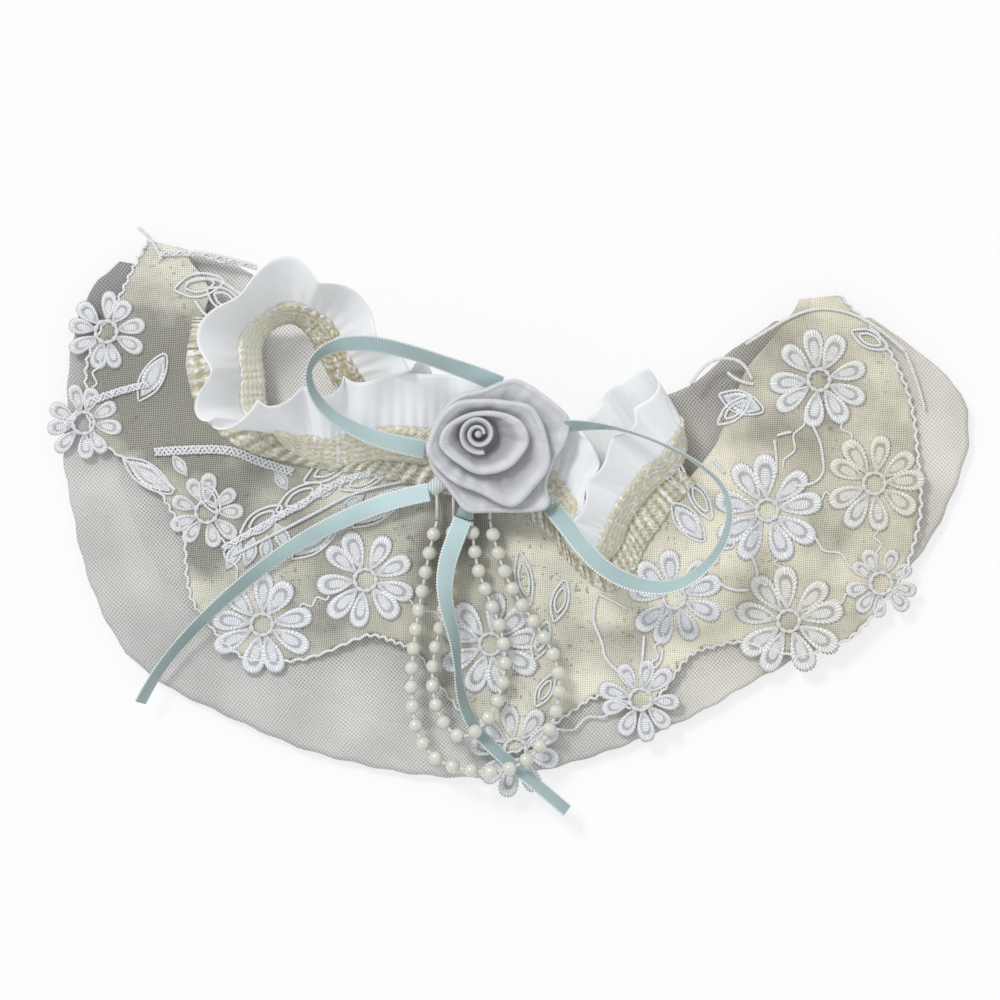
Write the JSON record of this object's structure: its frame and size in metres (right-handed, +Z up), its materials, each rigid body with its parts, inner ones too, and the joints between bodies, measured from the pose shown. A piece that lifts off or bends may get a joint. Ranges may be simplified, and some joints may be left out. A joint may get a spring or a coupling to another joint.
{
  "type": "bridal garter",
  "caption": "Elastic garter laid flat: satin ruffle band, lace and tulle flounce, organza rose, ribbon bow and pearl loops.",
  "frame": {"origin": "on the resting plane, under the middle of the laid-out flounce", "axes": "+Z up from the table, +X along the laid-out width towards the flat end of the band, -Y the way the flounce fans out"},
  "size_m": [0.259, 0.1617, 0.0345],
  "materials": {
    "elastic": "shirred woven elastic, matt",
    "satin": "satin, soft sheen",
    "lace": "embroidered viscose thread, sheen",
    "tulle": "fine open mesh",
    "net": "woven net ground",
    "felt": "felt disc",
    "organza": "sheer organza",
    "aqua_ribbon": "narrow satin ribbon",
    "bead_thread": "twisted thread",
    "pearl": "imitation pearl, soft gloss"
  },
  "bodies": {
    "garter": {"elastic_core": "elastic", "band_casing": "satin", "satin_ruffle": "satin", "gathered_heading": "lace", "back_heading": "lace", "tulle_front": "tulle", "tulle_back": "tulle", "net_front": "net", "net_back": "net", "rose_backing": "felt", "rose_bud": "organza", "rose_petals_inner": "organza", "rose_petals_middle": "organza", "rose_petals_outer": "organza", "bow_knot": "aqua_ribbon", "lace_daisy_1": "lace", "lace_daisy_2": "lace", "lace_daisy_3": "lace", "lace_daisy_4": "lace", "lace_daisy_5": "lace", "lace_daisy_6": "lace", "lace_daisy_7": "lace", "lace_daisy_8": "lace", "lace_daisy_9": "lace", "lace_daisy_10": "lace", "lace_daisy_11": "lace", "lace_daisy_12": "lace", "lace_daisy_13": "lace", "lace_daisy_14": "lace", "back_daisy_1": "lace", "back_daisy_2": "lace", "back_daisy_3": "lace", "back_daisy_4": "lace", "back_daisy_5": "lace", "back_daisy_6": "lace", "lace_leaf_1": "lace", "lace_leaf_2": "lace", "lace_leaf_3": "lace", "lace_leaf_4": "lace", "lace_leaf_5": "lace", "lace_leaf_6": "lace"},
    "pearl_drop": {"strand_thread_outer": "bead_thread", "strand_thread_inner": "bead_thread", "strand_pearls_outer": "pearl", "strand_pearls_inner": "pearl", "ribbon_tail_short": "aqua_ribbon"},
    "long_tail": {"ribbon_tail_long": "aqua_ribbon"},
    "left_loop": {"bow_loop_left": "aqua_ribbon"},
    "right_loop": {"bow_loop_right": "aqua_ribbon"}
  },
  "joints": [
    {"name": "pearl_drop_lift", "type": "hinge", "parent": "garter", "child": "pearl_drop", "pos_m": [-0.013, -0.0024, 0.011], "axis": [-1, 0, 0], "range_deg": [0, 40]},
    {"name": "long_tail_lift", "type": "hinge", "parent": "garter", "child": "long_tail", "pos_m": [-0.0224, 0.0056, 0.0112], "axis": [-0.1871, 0.9823, 0], "range_deg": [0, 45]},
    {"name": "left_loop_lift", "type": "hinge", "parent": "garter", "child": "left_loop", "pos_m": [-0.0238, 0.0174, 0.0118], "axis": [0.7558, 0.6548, 0], "range_deg": [0, 10]},
    {"name": "right_loop_lift", "type": "hinge", "parent": "garter", "child": "right_loop", "pos_m": [0.0118, 0.0011, 0.0118], "axis": [-0.172, -0.9851, 0], "range_deg": [0, 20]}
  ]
}
